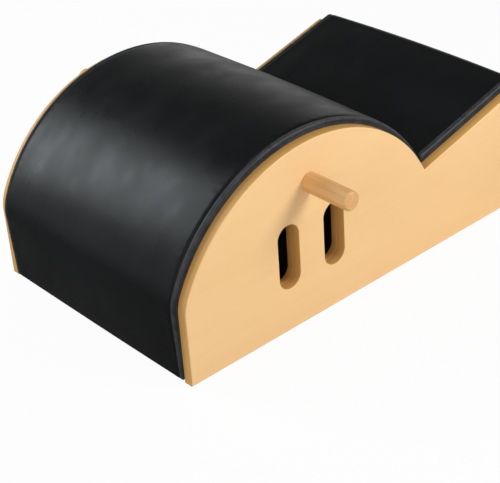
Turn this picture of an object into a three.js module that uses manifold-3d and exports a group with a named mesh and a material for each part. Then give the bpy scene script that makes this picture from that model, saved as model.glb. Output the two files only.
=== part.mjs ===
// Pilates spine corrector: a padded arch and a padded ramp held between two plywood side panels.
// Millimetres, +Z up. +X runs from the arch to the high end of the ramp, +Y to its left.
// Every piece is worked out in the panels' own frame: X = 0 at their front edge, Z = 0 at their bottom
// edge and Y = 0 midway between them. The finished group stands on its feet, centred over the origin.
import * as THREE from 'three';
import { mergeVertices } from 'three/addons/utils/BufferGeometryUtils.js';
import Module from 'manifold-3d';

const wasm = await Module();
wasm.setup();

// Overall
const width = 480; // over the outer faces of the side panels
const fit = 0.3; // clearance between pieces that seat on each other
const overrun = 5; // how far a cut runs past what it cuts

// Side panels
const panelThickness = 18;
const barrelRadius = 285; // of the arched top edge
const barrelCentreZ = 31;
const bendHeight = 138.4; // where the upright front edge meets the arch
const bendRound = 80; // takes off that corner
const valleyHeight = 160.6; // where the arch meets the ramp
const rampRun = 237.2; // from the valley to the back edge, along X
const rampAngle = THREE.MathUtils.degToRad(15.2);
const rampEndRound = 8;
const panelRound = 5; // on the outer arris
const panelEase = 1; // on the inner arris

// Hand slots, two in each side panel
const slotWidth = 44;
const slotLength = 113;
const slotEase = 1.2; // roundover at both mouths
const slotForward = 6; // how far the middle of the pair lies in front of the barrel's centre
const slotSpacing = 97; // centre to centre
const slotDrop = 113.5; // below the hand dowels' axis

// Grip boards, glued behind the slots so that the fingers meet a deeper edge
const gripThickness = 12;
const gripMargin = 22; // from the slots to the board's edges
const gripCorner = 12; // radius of its corners

// Hand dowels
const dowelDiameter = 32;
const dowelReach = 92; // out of the panel
const dowelForward = 7; // in front of the barrel's centre
const dowelDrop = 69; // below the top of the arch
const dowelEndRound = 4;
const spigotDiameter = 20;
const dowelBoltDiameter = 8;
const dowelBoltLength = 70;
const dowelBoltHeadWidth = 13; // across the flats
const dowelBoltHeadHeight = 5.5;
const washerDiameter = 30;
const washerThickness = 2;

// Boards under the pads
const bentPly = 9; // barrel deck and front board
const rampPly = 12; // ramp board and back board
const padSeat = 10; // how deep the boards lie under the panels' edges
const rampBoardTuck = 78; // how far the ramp board runs on under the barrel deck

// Pads: a vinyl cover drawn over foam. Heights are how far the cover stands out past the panels' edges.
const coverThickness = 1.5;
const barrelPadHeight = 12;
const frontPadHeight = 10; // at the bend
const padFootHeight = 3; // where the front and back pads meet the floor
const rampPadHeight = 12;
const backPadHeight = 10; // below the ramp's end
const padCrown = 3.4; // extra height midway across
const padRoll = 9; // radius of the rolled side edges
const padFloorGap = 3; // below the front and back pads
const padCornerSpread = 1.2; // spacing of a pad's lines where they crowd inside a corner

// Frame inside
const railWidth = 36;
const railHeight = 60;
const valleyRailHeight = 36;
const valleyRailSetback = 38; // along the ramp, from the valley to the rail's front face
const cleatWidth = 18; // across the panels
const cleatDepth = 25;
const ribThickness = 18;
const barrelRibDepth = 50;
const rampRibDepth = 45;
const ribLegWidth = 45;
const pinDiameter = 8;
const pinLength = 38;
const pinDepthInPanel = 12;
const pinEdge = 15; // from a pin's axis to the top or bottom of its rail

// Feet and screws
const footDiameter = 30;
const footTopDiameter = 27;
const footThickness = 6;
const footStand = 2; // how far the feet hold the panels off the floor
const footInset = 45; // from a side panel's inner face to a foot's axis
const screwDiameter = 4;
const screwHeadDiameter = 8;
const screwHeadHeight = 2.4;
const footScrewLength = 20;
const footRecessDepth = 3;
const padScrewBite = 6; // into the board that it holds
const deckScrewAngles = [55, 125].map(THREE.MathUtils.degToRad);
const rampScrewShares = [0.25, 0.77]; // of the ramp's length, from the valley

// Facets
const barrelStep = THREE.MathUtils.degToRad(4.75);
const barrelTail = THREE.MathUtils.degToRad(14); // below the valley, where what follows the barrel is cut off
const roundSegments = 24;
const pinSegments = 12;
const screwSegments = 10;
const hexSides = 6;
const arrisSteps = 3;
const slotSteps = 2;
const crownSteps = 6;
const rollSteps = 3;
const cornerSteps = 4; // round a panel's or a grip board's corner, and the pad's at the ramp's end
const bendSteps = 2; // of the pad, round the bend between the front and the barrel
const padEasing = THREE.MathUtils.degToRad(24); // of the arch: the front pad's height becomes the barrel's

// Worked-out sizes
const barrelCentreX = Math.sqrt(barrelRadius ** 2 - (bendHeight - barrelCentreZ) ** 2);
const valleyX = barrelCentreX + Math.sqrt(barrelRadius ** 2 - (valleyHeight - barrelCentreZ) ** 2);
const length = valleyX + rampRun; // of a side panel, front edge to back edge
const rampEndHeight = valleyHeight + rampRun * Math.tan(rampAngle); // before its corner is rounded
const rampLength = rampRun / Math.cos(rampAngle);
const slotMiddleX = barrelCentreX - slotForward;
const dowelX = barrelCentreX - dowelForward;
const dowelZ = barrelCentreZ + barrelRadius - dowelDrop;
const slotCentreZ = dowelZ - slotDrop;
const panelOuter = width / 2;
const panelInner = panelOuter - panelThickness;
const padHalf = panelInner - fit;
const boardHalf = padHalf - coverThickness - fit;
const frameHalf = panelInner - fit;
const barrelBoards = padSeat + bentPly;
const rampBoards = padSeat + rampPly;
const boardFloor = padFloorGap + coverThickness + fit;
const railBottom = footThickness - footStand + fit;
const railTop = railBottom + railHeight;
const slotCentres = [slotMiddleX - slotSpacing / 2, slotMiddleX + slotSpacing / 2];
const sides = [['left', 1], ['right', -1]];

const birch = new THREE.MeshStandardMaterial({ color: 0xefc893, roughness: 0.5 });
const bareWood = new THREE.MeshStandardMaterial({ color: 0xd9b27c, roughness: 0.75 });
const dowelWood = new THREE.MeshStandardMaterial({ color: 0xd8a468, roughness: 0.55 });
const vinyl = new THREE.MeshStandardMaterial({ color: 0x1d1f20, roughness: 0.45 });
const foam = new THREE.MeshStandardMaterial({ color: 0xd8d2bd, roughness: 0.95 });
const steel = new THREE.MeshStandardMaterial({ color: 0xa8abad, roughness: 0.35, metalness: 0.9 });
const rubber = new THREE.MeshStandardMaterial({ color: 0x232323, roughness: 0.85 });

// Solids and meshes

function toSolid(geometry) {
  geometry.deleteAttribute('normal');
  geometry.deleteAttribute('uv');
  const merged = mergeVertices(geometry);
  return new wasm.Manifold(new wasm.Mesh({
    numProp: 3,
    vertProperties: new Float32Array(merged.attributes.position.array),
    triVerts: new Uint32Array(merged.index.array),
  }));
}

function toGeometry(solid) {
  const { vertProperties, triVerts } = solid.getMesh();
  const geometry = new THREE.BufferGeometry();
  geometry.setAttribute('position', new THREE.BufferAttribute(vertProperties, 3));
  geometry.setIndex(new THREE.BufferAttribute(triVerts, 1));
  geometry.computeVertexNormals();
  return geometry;
}

const model = new THREE.Group();

function add(name, solid, material) {
  const mesh = new THREE.Mesh(toGeometry(solid), material);
  mesh.name = name;
  model.add(mesh);
}

// Fills the end of a loft: its triangles run with the ring's points, or against them.
function endCap(ring, first, against) {
  const normal = ring.reduce((sum, p, i) =>
    sum.add(new THREE.Vector3().crossVectors(p, ring[(i + 1) % ring.length])), new THREE.Vector3());
  const turn = new THREE.Quaternion().setFromUnitVectors(normal.normalize(), new THREE.Vector3(0, 0, 1));
  const flat = ring.map((p) => p.clone().applyQuaternion(turn)).map((p) => new THREE.Vector2(p.x, p.y));
  return THREE.ShapeUtils.triangulateShape(flat, []).map((corners) => {
    const along = THREE.ShapeUtils.area(corners.map((i) => flat[i])) > 0;
    const [a, b, c] = corners.map((i) => first + i);
    return along === against ? [c, b, a] : [a, b, c];
  });
}

// Joins rings of equally many points into one closed solid.
function loft(rings) {
  const count = rings[0].length;
  const points = rings.flat();
  const faces = endCap(rings[0], 0, true);
  for (let first = 0; first + count < points.length; first += count) {
    for (let j = 0; j < count; j++) {
      const [a, b] = [first + j, first + (j + 1) % count];
      faces.push([a, b, b + count], [a, b + count, a + count]);
    }
  }
  faces.push(...endCap(rings[rings.length - 1], points.length - count, false));
  const volume = faces.reduce((sum, [a, b, c]) =>
    sum + points[a].dot(new THREE.Vector3().crossVectors(points[b], points[c])), 0);
  const geometry = new THREE.BufferGeometry().setFromPoints(points);
  geometry.setIndex(faces.flatMap(([a, b, c]) => (volume < 0 ? [c, b, a] : [a, b, c])));
  return toSolid(geometry);
}

// A plate cut to an outline in X and Z and lying between two places on Y.
function plate(outline, fromY, toY) {
  const shape = new THREE.Shape(outline);
  const geometry = new THREE.ExtrudeGeometry(shape, { depth: toY - fromY, bevelEnabled: false });
  geometry.rotateX(Math.PI / 2);
  geometry.translate(0, toY, 0);
  return toSolid(geometry);
}

const arc = (centre, radius, fromAngle, toAngle, steps) => Array.from({ length: steps + 1 }, (_, i) => {
  const angle = fromAngle + (toAngle - fromAngle) * (i / steps);
  return new THREE.Vector2(centre.x + radius * Math.cos(angle), centre.y + radius * Math.sin(angle));
});

const rectangle = (fromX, toX, fromZ, toZ) => [
  new THREE.Vector2(fromX, fromZ), new THREE.Vector2(toX, fromZ),
  new THREE.Vector2(toX, toZ), new THREE.Vector2(fromX, toZ),
];

// A turned piece. The profile holds pairs of radius and distance along the axis, which starts at a point
// and runs in a direction.
function turned(profile, segments, start, direction) {
  const points = profile.map(([radius, along]) => new THREE.Vector2(radius, along));
  const geometry = new THREE.LatheGeometry(points, segments);
  geometry.deleteAttribute('normal');
  geometry.deleteAttribute('uv');
  geometry.applyQuaternion(
    new THREE.Quaternion().setFromUnitVectors(new THREE.Vector3(0, 1, 0), direction.clone().normalize()));
  geometry.translate(start.x, start.y, start.z);
  return toSolid(geometry);
}

const rod = (diameter, from, to, segments, start, direction) =>
  turned([[0, from], [diameter / 2, from], [diameter / 2, to], [0, to]], segments, start, direction);

// The panels' edge line

const rampHeight = (x, inset) =>
  rampEndHeight + (x - length) * Math.tan(rampAngle) - inset / Math.cos(rampAngle);
const rampAlong = new THREE.Vector2(Math.cos(rampAngle), Math.sin(rampAngle));
const rampAcross = new THREE.Vector2(-Math.sin(rampAngle), Math.cos(rampAngle));

// Where a circle about the barrel's centre meets the ramp's line, moved down by an inset.
function valleyOf(radius, inset) {
  const slope = Math.tan(rampAngle);
  const rise = rampHeight(barrelCentreX, inset) - barrelCentreZ;
  const steep = 1 + slope ** 2;
  const run = (Math.sqrt(radius ** 2 * steep - rise ** 2) - slope * rise) / steep;
  return new THREE.Vector2(barrelCentreX + run, rampHeight(barrelCentreX + run, inset));
}

// Where such a circle meets an upright line behind the front edge.
const bendOf = (radius, inset) =>
  new THREE.Vector2(inset, barrelCentreZ + Math.sqrt(radius ** 2 - (barrelCentreX - inset) ** 2));

const barrelPoint = (radius, angle) =>
  new THREE.Vector2(barrelCentreX + radius * Math.cos(angle), barrelCentreZ + radius * Math.sin(angle));
const angleOf = (point) => Math.atan2(point.y - barrelCentreZ, point.x - barrelCentreX);

const valley = valleyOf(barrelRadius, 0);
const bend = bendOf(barrelRadius, 0);
const bendAngle = angleOf(bend);
const rampPoint = (along, across) =>
  valley.clone().addScaledVector(rampAlong, along).addScaledVector(rampAcross, across);

// Everything that follows the barrel has its facets at the same angles, so that layers stay parallel.
const barrelAngles = [];
for (let angle = Math.PI; angle > barrelTail; angle -= barrelStep) barrelAngles.push(angle);

// The outline of a side panel, drawn in by an inset.
function panelOutline(inset) {
  const radius = barrelRadius - inset;
  const rear = valleyOf(radius, inset);
  const turn = bendOf(barrelRadius - bendRound, bendRound);
  const front = arc(turn, bendRound - inset, Math.PI, angleOf(turn), cornerSteps);
  const [from, to] = [angleOf(turn) - barrelStep / 2, angleOf(valley) + barrelStep / 2];
  const arch = barrelAngles.filter((angle) => angle < from && angle > to)
    .map((angle) => barrelPoint(radius, angle));
  const cornerX = length - rampEndRound;
  const corner = new THREE.Vector2(cornerX, rampHeight(cornerX, rampEndRound));
  const end = arc(corner, rampEndRound - inset, rampAngle + Math.PI / 2, 0, cornerSteps);
  const [toe, heel] = [new THREE.Vector2(inset, inset), new THREE.Vector2(length - inset, inset)];
  return [toe, ...front, ...arch, rear, ...end, heel];
}

// How far a rounded arris of a given radius draws in (first) at each depth (second) below a face.
const arris = (radius, steps) => Array.from({ length: steps + 1 }, (_, i) => {
  const angle = (i / steps) * Math.PI / 2;
  return [radius * (1 - Math.sin(angle)), radius * (1 - Math.cos(angle))];
});

// A slot cutter, through a side panel and the grip board behind it: a stadium with both its mouths eased.
function slotCutter(side, centreX) {
  const through = panelThickness + fit + gripThickness;
  const stadium = (flare, depth) => {
    const radius = slotWidth / 2 + flare;
    const half = (slotLength - slotWidth) / 2;
    return Array.from({ length: roundSegments }, (_, i) => {
      const angle = ((i + 1 / 2) / roundSegments) * 2 * Math.PI;
      const z = slotCentreZ + (Math.sin(angle) > 0 ? half : -half) + radius * Math.sin(angle);
      return new THREE.Vector3(centreX + radius * Math.cos(angle), side * (panelOuter - depth), z);
    });
  };
  const mouth = arris(slotEase, slotSteps);
  const outer = mouth.map(([flare, depth]) => stadium(flare, depth));
  const inner = mouth.map(([flare, depth]) => stadium(flare, through - depth)).reverse();
  return loft([stadium(slotEase, -overrun), ...outer, ...inner, stadium(slotEase, through + overrun)]);
}

// Rails across the frame, each given by the middle of its section and how it is turned.

const upright = { along: new THREE.Vector2(1, 0), across: new THREE.Vector2(0, 1) };
const rails = {
  front_rail: {
    ...upright, height: railHeight,
    middle: new THREE.Vector2(barrelBoards + fit + railWidth / 2, railBottom + railHeight / 2),
  },
  valley_rail: {
    along: rampAlong, across: rampAcross, height: valleyRailHeight,
    middle: rampPoint(railWidth / 2 - valleyRailSetback, -rampBoards - fit - valleyRailHeight / 2),
  },
  rear_rail: {
    ...upright, height: railHeight,
    middle: new THREE.Vector2(length - rampBoards - fit - railWidth / 2, railBottom + railHeight / 2),
  },
};
const pinPlaces = (rail) => {
  const away = rail.height / 2 - Math.min(pinEdge, rail.height / 4);
  return [-away, away].map((across) => rail.middle.clone().addScaledVector(rail.across, across));
};
const footPlaces = [];
for (const end of ['front', 'rear']) {
  const rail = `${end}_rail`;
  for (const [hand, side] of sides) {
    footPlaces.push({ name: `${end}_${hand}`, rail, x: rails[rail].middle.x, side });
  }
}

// Side panels, their dowels and what holds those

function sidePanel(side) {
  const ring = (inset, depth) => panelOutline(inset)
    .map((p) => new THREE.Vector3(p.x, side * (panelOuter - depth), p.y));
  const rings = arris(panelRound, arrisSteps).map(([inset, depth]) => ring(inset, depth));
  rings.push(ring(0, panelThickness - panelEase), ring(panelEase, panelThickness));
  let panel = loft(rings);
  for (const centreX of slotCentres) panel = panel.subtract(slotCutter(side, centreX));
  const inward = new THREE.Vector3(0, -side, 0);
  const outward = new THREE.Vector3(0, side, 0);
  const dowelAxis = new THREE.Vector3(dowelX, side * panelOuter, dowelZ);
  panel = panel.subtract(
    rod(spigotDiameter + 2 * fit, -overrun, panelThickness + overrun, roundSegments, dowelAxis, inward));
  for (const rail of Object.values(rails)) {
    for (const place of pinPlaces(rail)) {
      const mouth = new THREE.Vector3(place.x, side * panelInner, place.y);
      panel = panel.subtract(
        rod(pinDiameter + 2 * fit, -overrun, pinDepthInPanel + fit, pinSegments, mouth, outward));
    }
  }
  return panel;
}

function gripBoard(side) {
  const reach = (slotSpacing + slotWidth) / 2 + gripMargin - gripCorner;
  const rise = slotLength / 2 + gripMargin - gripCorner;
  const outline = [[1, 1], [-1, 1], [-1, -1], [1, -1]].flatMap(([alongX, alongZ], i) => {
    const corner = new THREE.Vector2(slotMiddleX + alongX * reach, slotCentreZ + alongZ * rise);
    return arc(corner, gripCorner, i * Math.PI / 2, (i + 1) * Math.PI / 2, cornerSteps);
  });
  const [fromY, toY] = [side * frameHalf, side * (frameHalf - gripThickness)].sort((a, b) => a - b);
  return slotCentres.reduce((board, centreX) => board.subtract(slotCutter(side, centreX)),
    plate(outline, fromY, toY));
}

function handDowel(side) {
  const radius = dowelDiameter / 2;
  const end = arris(dowelEndRound, arrisSteps).map(([inset, depth]) => [radius - inset, dowelReach - depth]);
  const profile = [
    [0, fit - panelThickness], [spigotDiameter / 2, fit - panelThickness], [spigotDiameter / 2, fit],
    [radius, fit], ...end.reverse(), [0, dowelReach],
  ];
  const start = new THREE.Vector3(dowelX, side * panelOuter, dowelZ);
  const outward = new THREE.Vector3(0, side, 0);
  const boreDiameter = dowelBoltDiameter + 2 * fit;
  const boreEnd = dowelBoltLength - panelThickness - washerThickness;
  const bore = rod(boreDiameter, -panelThickness - overrun, boreEnd, pinSegments, start, outward);
  return turned(profile, roundSegments, start, outward).subtract(bore);
}

function dowelWasher(side) {
  const [hole, rim] = [dowelBoltDiameter / 2 + fit, washerDiameter / 2];
  const back = fit + washerThickness;
  const profile = [[hole, fit], [rim, fit], [rim, back], [hole, back], [hole, fit]];
  const start = new THREE.Vector3(dowelX, side * panelInner, dowelZ);
  return turned(profile, roundSegments, start, new THREE.Vector3(0, -side, 0));
}

function dowelBolt(side) {
  const start = new THREE.Vector3(dowelX, side * (panelInner - washerThickness - 2 * fit), dowelZ);
  const outward = new THREE.Vector3(0, side, 0);
  const corners = dowelBoltHeadWidth / Math.cos(Math.PI / hexSides);
  const head = rod(corners, -dowelBoltHeadHeight, 0, hexSides, start, outward);
  const inHead = -dowelBoltHeadHeight / 2;
  return head.add(rod(dowelBoltDiameter, inHead, dowelBoltLength, pinSegments, start, outward));
}

// Pads. A station of a pad is a place on the panels' edge line with the way out of it, the height of the
// cover there, and under(depth), the place that lies so deep below it.

function straightStation(base, out, height) {
  return { base, out, height, under: (depth) => base.clone().addScaledVector(out, -depth) };
}

// Stations round an outward corner: the cover turns about the corner, and the lines below it stay close to
// where the two undersides meet.
function cornerStations(corner, outFrom, outTo, steps, heightFrom, heightTo) {
  const from = Math.atan2(outFrom.y, outFrom.x);
  const to = Math.atan2(outTo.y, outTo.x);
  const miter = outFrom.clone().add(outTo).divideScalar(1 + outFrom.dot(outTo));
  const before = new THREE.Vector2(-outFrom.y, outFrom.x);
  const after = new THREE.Vector2(outTo.y, -outTo.x);
  return Array.from({ length: steps + 1 }, (_, i) => {
    const angle = from + (to - from) * (i / steps);
    const away = (i - steps / 2) * padCornerSpread;
    return {
      base: corner,
      out: new THREE.Vector2(Math.cos(angle), Math.sin(angle)),
      height: heightFrom + (heightTo - heightFrom) * (i / steps),
      under: (depth) => corner.clone().addScaledVector(miter, -depth)
        .addScaledVector(away < 0 ? before : after, Math.abs(away)),
    };
  });
}

const forward = new THREE.Vector2(-1, 0);
const backward = new THREE.Vector2(1, 0);
const ease = (t) => t * t * (3 - 2 * t);

// Up the front from the floor, round the bend, over the barrel and on below the valley.
function barrelStations(floor) {
  const barrelOut = (angle) => new THREE.Vector2(Math.cos(angle), Math.sin(angle));
  const frontShares = [0, 0.45, 0.9];
  const stations = frontShares.map((share) => straightStation(
    new THREE.Vector2(0, floor + (bend.y - floor) * share), forward,
    padFootHeight + (frontPadHeight - padFootHeight) * ((floor + (bend.y - floor) * share) / bend.y)));
  stations.push(
    ...cornerStations(bend, forward, barrelOut(bendAngle), bendSteps, frontPadHeight, frontPadHeight));
  for (const angle of barrelAngles.filter((a) => a < bendAngle - barrelStep / 2)) {
    const share = ease(Math.min((bendAngle - angle) / padEasing, 1));
    stations.push(straightStation(barrelPoint(barrelRadius, angle), barrelOut(angle),
      frontPadHeight + (barrelPadHeight - frontPadHeight) * share));
  }
  return stations;
}

// Up the ramp from the valley, round its end and down the back to the floor.
function rampStations(floor) {
  const corner = new THREE.Vector2(length, rampEndHeight);
  const rampShares = [0, 0.4, 0.8];
  const backShares = [0.75, 0.35, 0];
  const stations = rampShares.map((share) =>
    straightStation(rampPoint(rampLength * share, 0), rampAcross, rampPadHeight));
  stations.push(...cornerStations(corner, rampAcross, backward, cornerSteps, rampPadHeight, backPadHeight));
  for (const share of backShares) {
    const z = floor + (rampEndHeight - floor) * share;
    stations.push(straightStation(new THREE.Vector2(length, z), backward,
      padFootHeight + (backPadHeight - padFootHeight) * (z / rampEndHeight)));
  }
  return stations;
}

// The solid between the cover's surface, moved out by an offset, and a depth below the edge line.
function padBody(stations, offset, depth) {
  const half = padHalf + offset;
  const roll = padRoll + offset;
  const rings = stations.map((station) => {
    const point = (y, height) => {
      const p = station.base.clone().addScaledVector(station.out, height);
      return new THREE.Vector3(p.x, y, p.y);
    };
    const edge = station.height + offset;
    const flank = [point(half, edge - roll)];
    for (const [down, inward] of arris(roll, rollSteps).slice(1)) {
      flank.push(point(half - inward, edge - down));
    }
    const crown = padCrown * (station.height / barrelPadHeight);
    const top = Array.from({ length: crownSteps - 1 }, (_, i) => {
      const share = 1 - (2 * (i + 1)) / crownSteps;
      return point((half - roll) * share, edge + crown * (1 - share * share));
    });
    const under = station.under(depth);
    const left = [new THREE.Vector3(under.x, half, under.y), ...flank];
    const right = left.map((p) => new THREE.Vector3(p.x, -p.y, p.z)).reverse();
    return [...left, ...top, ...right];
  });
  return loft(rings);
}

// An arched strip about the barrel's centre.
function barrelBand(outerRadius, innerRadius, fromY, toY) {
  const outer = barrelAngles.map((angle) => barrelPoint(outerRadius, angle));
  const inner = barrelAngles.map((angle) => barrelPoint(innerRadius, angle)).reverse();
  return plate([...outer, ...inner], fromY, toY);
}

// Everything under a line parallel to the ramp's, as a block to cut with.
function belowRamp(inset) {
  const fromX = barrelCentreX;
  const toX = length + barrelRadius;
  const outline = [
    new THREE.Vector2(fromX, -barrelRadius), new THREE.Vector2(toX, -barrelRadius),
    new THREE.Vector2(toX, rampHeight(toX, inset)), new THREE.Vector2(fromX, rampHeight(fromX, inset)),
  ];
  return plate(outline, -width, width);
}

const boardBend = bendOf(barrelRadius - padSeat, padSeat); // where the front board ends and the deck begins
const cleatBend = bendOf(barrelRadius - barrelBoards, barrelBoards); // the same place under the boards
const belowBend = (y) => plate(rectangle(-barrelRadius, barrelCentreX, -barrelRadius, y), -width, width);

const barrelPad = (offset, depth, rampGap, floor) =>
  padBody(barrelStations(floor), offset, depth).subtract(belowRamp(padSeat - rampGap));
const rampPad = (offset, depth, barrelGap, floor) =>
  padBody(rampStations(floor), offset, depth)
    .subtract(padBody(barrelStations(padFloorGap), barrelGap, barrelBoards + overrun));

function addPads() {
  const inside = coverThickness + fit;
  const cavityFloor = padFloorGap + coverThickness;
  const boardRoom = boardHalf + fit;
  const [overDeck, underDeck] = [barrelRadius - padSeat + fit, barrelRadius - barrelBoards - overrun];
  const deckRoom = barrelBand(overDeck, underDeck, -boardRoom, boardRoom);
  const rampRoom = plate([
    rampPoint(-rampBoardTuck, fit - padSeat), rampPoint(-rampBoardTuck, -rampBoards - overrun),
    rampPoint(rampBoardTuck, -rampBoards - overrun), rampPoint(rampBoardTuck, fit - padSeat),
  ], -boardRoom, boardRoom);
  add('barrel_cover',
    barrelPad(0, barrelBoards, fit, padFloorGap)
      .subtract(barrelPad(-coverThickness, barrelBoards + overrun, fit + coverThickness, cavityFloor))
      .subtract(deckRoom.subtract(belowBend(boardBend.y + overrun))), vinyl);
  add('barrel_foam', barrelPad(-inside, padSeat - fit, fit + inside, boardFloor), foam);
  add('ramp_cover',
    rampPad(0, rampBoards, fit, padFloorGap)
      .subtract(rampPad(-coverThickness, rampBoards + overrun, fit + coverThickness, cavityFloor))
      .subtract(rampRoom), vinyl);
  add('ramp_foam', rampPad(-inside, padSeat - fit, fit + inside, boardFloor), foam);
}

// Boards, cleats and ribs

const screwHoles = [];

function addBoards() {
  const deck = barrelBand(barrelRadius - padSeat, barrelRadius - barrelBoards, -boardHalf, boardHalf)
    .subtract(belowBend(boardBend.y + fit)).subtract(belowRamp(padSeat - fit));
  const front = plate(rectangle(padSeat, barrelBoards, boardFloor, boardBend.y), -boardHalf, boardHalf);
  const endX = length - padSeat;
  const rampLow = rampPoint(-rampBoardTuck, -padSeat);
  const rampOutline = [
    rampLow, rampPoint(-rampBoardTuck, -rampBoards),
    new THREE.Vector2(endX, rampHeight(endX, rampBoards)), new THREE.Vector2(endX, rampHeight(endX, padSeat)),
  ];
  const ramp = plate(rampOutline, -boardHalf, boardHalf);
  const backInner = length - rampBoards;
  const backOutline = [
    new THREE.Vector2(backInner, boardFloor), new THREE.Vector2(endX, boardFloor),
    new THREE.Vector2(endX, rampHeight(endX, rampBoards + fit)),
    new THREE.Vector2(backInner, rampHeight(backInner, rampBoards + fit)),
  ];
  add('barrel_deck', drilled(deck), bareWood);
  add('front_board', front, bareWood);
  add('ramp_board', drilled(ramp), bareWood);
  add('back_board', plate(backOutline, -boardHalf, boardHalf), bareWood);
}

function addCleats() {
  const backFace = length - rampBoards - fit;
  const frontFace = barrelBoards + fit;
  const rampCleatStart = railWidth - valleyRailSetback + fit;
  const front = rectangle(frontFace, frontFace + cleatDepth, railTop + fit, cleatBend.y - fit);
  for (const [hand, side] of sides) {
    const [fromY, toY] = [side * frameHalf, side * (frameHalf - cleatWidth)].sort((a, b) => a - b);
    const outer = barrelRadius - barrelBoards - fit;
    const barrel = barrelBand(outer, outer - cleatDepth, fromY, toY)
      .subtract(belowBend(cleatBend.y)).subtract(belowRamp(padSeat - fit));
    const rampOutline = [
      rampPoint(rampCleatStart, -rampBoards - fit), rampPoint(rampCleatStart, -rampBoards - fit - cleatDepth),
      new THREE.Vector2(backFace, rampHeight(backFace, rampBoards + fit + cleatDepth)),
      new THREE.Vector2(backFace, rampHeight(backFace, rampBoards + fit)),
    ];
    const backInner = backFace - cleatDepth;
    const backOutline = [
      new THREE.Vector2(backInner, railTop + fit), new THREE.Vector2(backFace, railTop + fit),
      new THREE.Vector2(backFace, rampHeight(backFace, rampBoards + cleatDepth + 2 * fit)),
      new THREE.Vector2(backInner, rampHeight(backInner, rampBoards + cleatDepth + 2 * fit)),
    ];
    add(`barrel_cleat_${hand}`, drilled(barrel), bareWood);
    add(`front_cleat_${hand}`, plate(front, fromY, toY), bareWood);
    add(`ramp_cleat_${hand}`, drilled(plate(rampOutline, fromY, toY)), bareWood);
    add(`back_cleat_${hand}`, plate(backOutline, fromY, toY), bareWood);
  }
}

function addRibs() {
  const outer = barrelRadius - barrelBoards - fit;
  const frontFace = barrelBoards + fit;
  const half = ribThickness / 2;
  const legOutline = rectangle(frontFace, frontFace + ribLegWidth, railTop + fit, cleatBend.y - fit);
  const leg = plate(legOutline, -half, half);
  const inFront = plate(rectangle(-barrelRadius, frontFace, -barrelRadius, barrelRadius), -width, width);
  const barrel = barrelBand(outer, outer - barrelRibDepth, -half, half)
    .subtract(belowBend(railTop + fit)).subtract(inFront).add(leg).subtract(belowRamp(padSeat - fit));
  const start = railWidth - valleyRailSetback + fit;
  const backFace = length - rampBoards - fit;
  const rampOutline = [
    rampPoint(start, -rampBoards - fit), rampPoint(start, -rampBoards - fit - rampRibDepth),
    new THREE.Vector2(backFace, rampHeight(backFace, rampBoards + fit + rampRibDepth)),
    new THREE.Vector2(backFace, rampHeight(backFace, rampBoards + fit)),
  ];
  add('barrel_rib', barrel, bareWood);
  add('ramp_rib', plate(rampOutline, -half, half), bareWood);
}

// Screws, pins and feet

// A countersunk screw from under a cleat into the board above it, and the hole that it needs.
function padScrew(name, face, out, y, reach) {
  const start = new THREE.Vector3(face.x, y, face.y);
  const direction = new THREE.Vector3(out.x, 0, out.y);
  const profile = (gap, from) => [
    [0, from], [screwHeadDiameter / 2 + gap, from], [screwHeadDiameter / 2 + gap, fit],
    [screwDiameter / 2 + gap, fit + screwHeadHeight], [screwDiameter / 2 + gap, reach - fit + gap],
    [0, reach - fit + gap],
  ];
  screwHoles.push(turned(profile(fit, -overrun), screwSegments, start, direction));
  add(name, turned(profile(0, fit / 2), screwSegments, start, direction), steel);
}

const drilled = (solid) => screwHoles.reduce((left, hole) => left.subtract(hole), solid);

function addPadScrews() {
  const cleatInner = barrelRadius - barrelBoards - fit - cleatDepth;
  const reach = cleatDepth + fit + padScrewBite;
  const underCleat = rampBoards + fit + cleatDepth;
  for (const [hand, side] of sides) {
    const y = side * (frameHalf - cleatWidth / 2);
    deckScrewAngles.forEach((angle, i) => {
      const out = new THREE.Vector2(Math.cos(angle), Math.sin(angle));
      padScrew(`deck_screw_${hand}_${i + 1}`, barrelPoint(cleatInner, angle), out, y, reach);
    });
    rampScrewShares.forEach((share, i) => {
      const face = rampPoint(rampLength * share, -underCleat);
      padScrew(`ramp_screw_${hand}_${i + 1}`, face, rampAcross, y, reach);
    });
  }
}

function addRails() {
  const up = new THREE.Vector3(0, 0, 1);
  for (const [name, rail] of Object.entries(rails)) {
    const corner = (a, c) => rail.middle.clone()
      .addScaledVector(rail.along, a * railWidth / 2).addScaledVector(rail.across, c * rail.height / 2);
    let solid = plate([corner(-1, -1), corner(1, -1), corner(1, 1), corner(-1, 1)], -frameHalf, frameHalf);
    pinPlaces(rail).forEach((place, i) => {
      for (const [hand, side] of sides) {
        const outward = new THREE.Vector3(0, side, 0);
        const end = new THREE.Vector3(place.x, side * (panelInner + pinDepthInPanel), place.y);
        const pin = rod(pinDiameter, -pinLength, 0, pinSegments, end, outward);
        solid = solid.subtract(rod(pinDiameter + 2 * fit, -pinLength - fit, 0, pinSegments, end, outward));
        add(`${name}_pin_${hand}_${i + 1}`, pin, bareWood);
      }
    });
    for (const foot of footPlaces.filter((place) => place.rail === name)) {
      const start = new THREE.Vector3(foot.x, foot.side * (panelInner - footInset), railBottom);
      solid = solid.subtract(
        rod(screwDiameter + 2 * fit, -overrun, footScrewLength, screwSegments, start, up));
    }
    add(name, solid, bareWood);
  }
}

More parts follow.
